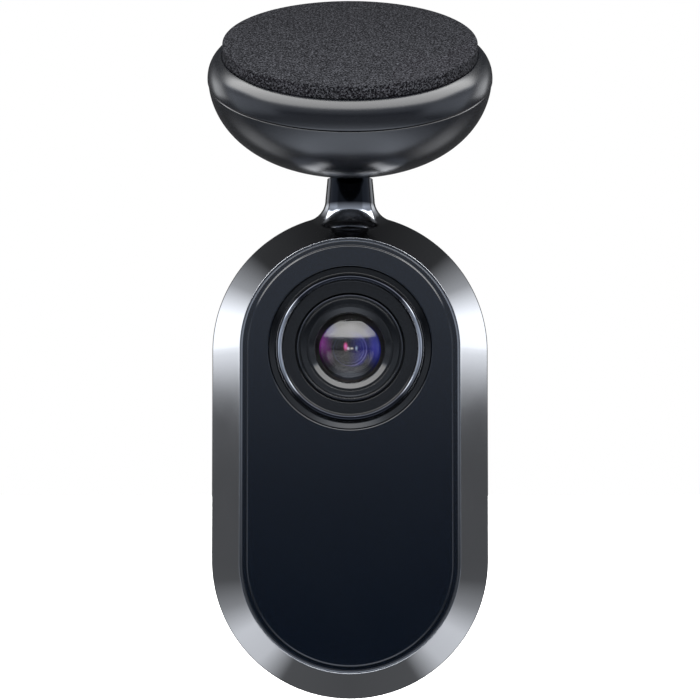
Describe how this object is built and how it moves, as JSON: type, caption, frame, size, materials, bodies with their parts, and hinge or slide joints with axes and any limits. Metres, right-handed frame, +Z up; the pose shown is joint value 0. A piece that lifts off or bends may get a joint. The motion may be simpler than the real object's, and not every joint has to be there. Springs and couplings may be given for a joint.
{
  "type": "dash camera",
  "caption": "Slim dash camera with a stadium-shaped body, a deep-set lens and a short neck, hung on a ball joint from a round adhesive windscreen mount.",
  "frame": {"origin": "centre of the adhesive pad's outer face, which sticks to the glass", "axes": "+Z up along the camera's long side, the lens looks along -Y, +X is the camera's left side seen from behind it"},
  "size_m": [0.0378, 0.0345, 0.0952],
  "materials": {
    "foam": "closed-cell foam, grainy",
    "gloss_black": "moulded, polished",
    "satin_black": "moulded, fine spark texture",
    "lens_black": "turned, black anodised",
    "matt_black": "flocked, matt",
    "smoked_metal": "die cast, smoked dark coating, polished",
    "rubber": "die cut",
    "button_rubber": "moulded, satin",
    "acetal": "moulded, black",
    "steel": "bright, turned",
    "tinned_steel": "drawn sheet, tinned",
    "coated_glass": "ground and polished, violet anti-reflection coating",
    "clear_plastic": "moulded, clear",
    "circuit_board": "glass-fibre board, green solder mask",
    "chip": "moulded epoxy, dull",
    "flex_film": "polyimide film",
    "thermal_pad": "soft filled silicone",
    "battery_wrap": "shrink film",
    "card_plastic": "moulded, satin"
  },
  "bodies": {
    "head": {"adhesive_foam_pad": "foam", "head_top_shell": "gloss_black", "head_bottom_shell": "gloss_black", "socket_housing": "satin_black", "pressure_cup": "acetal", "spring_washer": "steel", "socket_screw_1": "steel", "socket_screw_2": "steel", "socket_screw_3": "steel"},
    "socket_liner": {"socket_liner": "acetal"},
    "pivot_ball": {"pivot_ball": "steel"},
    "camera": {"body_frame": "smoked_metal", "front_fascia": "gloss_black", "fascia_seal": "rubber", "rear_cover": "satin_black", "rear_screw_1": "steel", "rear_screw_2": "steel", "rear_screw_3": "steel", "rear_screw_4": "steel", "stud_clip": "steel", "lens_bezel": "lens_black", "lens_barrel": "lens_black", "lens_retaining_ring": "lens_black", "front_lens": "coated_glass", "lens_spacer": "matt_black", "second_lens": "coated_glass", "aperture_stop": "matt_black", "third_lens": "coated_glass", "rear_lens": "coated_glass", "infrared_filter": "coated_glass", "lens_holder": "satin_black", "image_sensor": "chip", "sensor_board": "circuit_board", "holder_screw_1": "steel", "holder_screw_2": "steel", "main_board": "circuit_board", "flex_cable": "flex_film", "flex_connector": "acetal", "processor": "chip", "thermal_pad": "thermal_pad", "heat_spreader": "tinned_steel", "memory_chip": "chip", "motion_sensor": "chip", "backup_battery": "battery_wrap", "usb_socket": "tinned_steel", "usb_tongue": "satin_black", "card_socket": "tinned_steel", "speaker": "matt_black", "microphone": "tinned_steel", "wifi_antenna": "flex_film", "button_switch": "tinned_steel", "status_led": "clear_plastic", "status_light_pipe": "clear_plastic"},
    "rear_button": {"rear_button": "button_rubber"},
    "memory_card": {"memory_card": "card_plastic"}
  },
  "joints": [
    {"name": "head_swivel", "type": "hinge", "parent": "head", "child": "socket_liner", "pos_m": [0, 0.00609, -0.01034], "axis": [0, -0.5075, 0.8616], "continuous": true},
    {"name": "ball_tilt", "type": "hinge", "parent": "socket_liner", "child": "pivot_ball", "pos_m": [0, 0.00609, -0.01034], "axis": [1, 0, 0], "range_deg": [-5.5, 66.5]},
    {"name": "camera_spin", "type": "hinge", "parent": "pivot_ball", "child": "camera", "pos_m": [0, 0.00609, -0.01034], "axis": [0, 0, 1], "continuous": true},
    {"name": "button_press", "type": "slide", "parent": "camera", "child": "rear_button", "axis": [0, -1, 0], "range_m": [0, 0.0004], "stiffness_N_per_m": 800, "springref_m": -0.0005},
    {"name": "card_slide", "type": "slide", "parent": "camera", "child": "memory_card", "axis": [1, 0, 0], "range_m": [0, 0.012]}
  ]
}
